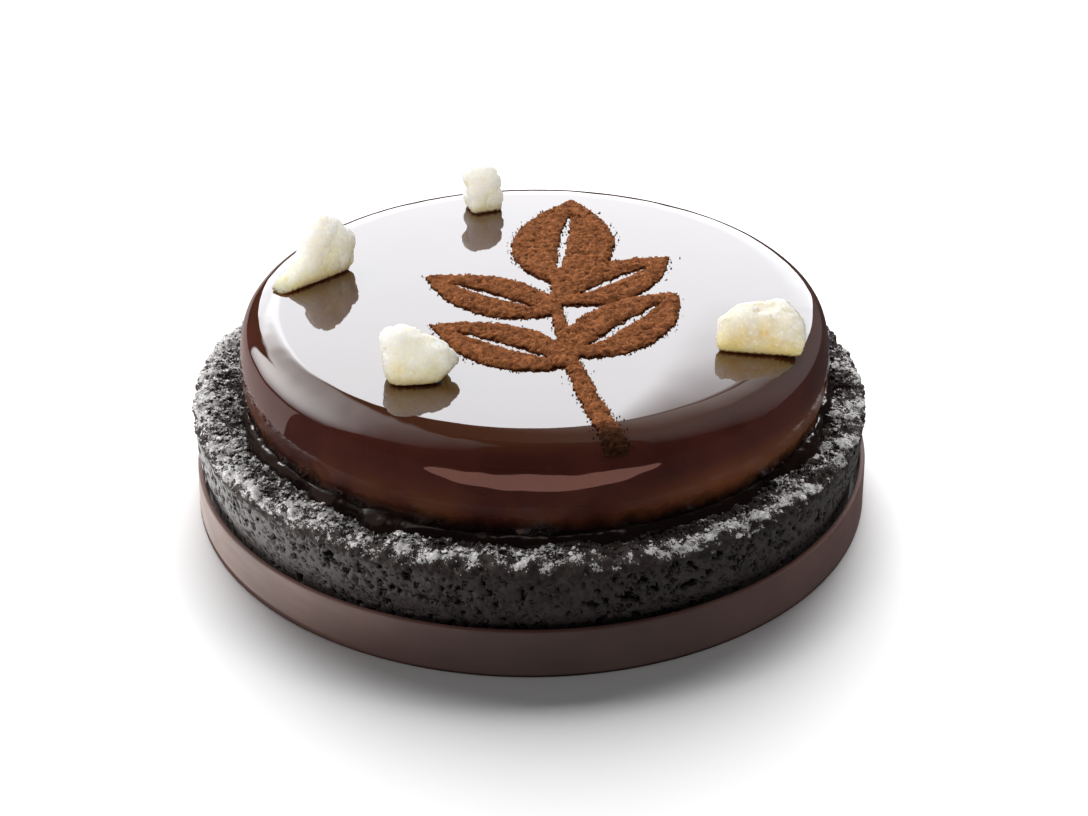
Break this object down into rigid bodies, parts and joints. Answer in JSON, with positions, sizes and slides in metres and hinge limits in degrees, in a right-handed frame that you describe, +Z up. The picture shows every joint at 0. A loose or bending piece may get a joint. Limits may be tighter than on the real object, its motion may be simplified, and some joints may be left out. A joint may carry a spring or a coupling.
{
  "type": "brownie tart",
  "caption": "Round brownie tart: crumbly dark base in a chocolate band, glossy glazed dome with a cocoa-dusted sprig and lumps of candied ginger on top.",
  "frame": {"origin": "centre of the underside, where the tart stands", "axes": "+Z up out of the glazed top, -Y towards the front where the sprig's stem starts"},
  "size_m": [0.0866, 0.0866, 0.0338],
  "materials": {
    "band_chocolate": "satin tempered chocolate",
    "brownie_crumb": "rough dark crumb, dusted with icing sugar on top",
    "mirror_glaze": "mirror-bright chocolate glaze with a dull cocoa sprig",
    "candied_ginger": "pale, slightly see-through, sugary"
  },
  "bodies": {
    "root": {"chocolate_band": "band_chocolate", "brownie_base": "brownie_crumb", "glazed_dome": "mirror_glaze", "ginger_left": "candied_ginger", "ginger_back": "candied_ginger", "ginger_front": "candied_ginger", "ginger_right": "candied_ginger"}
  },
  "joints": []
}
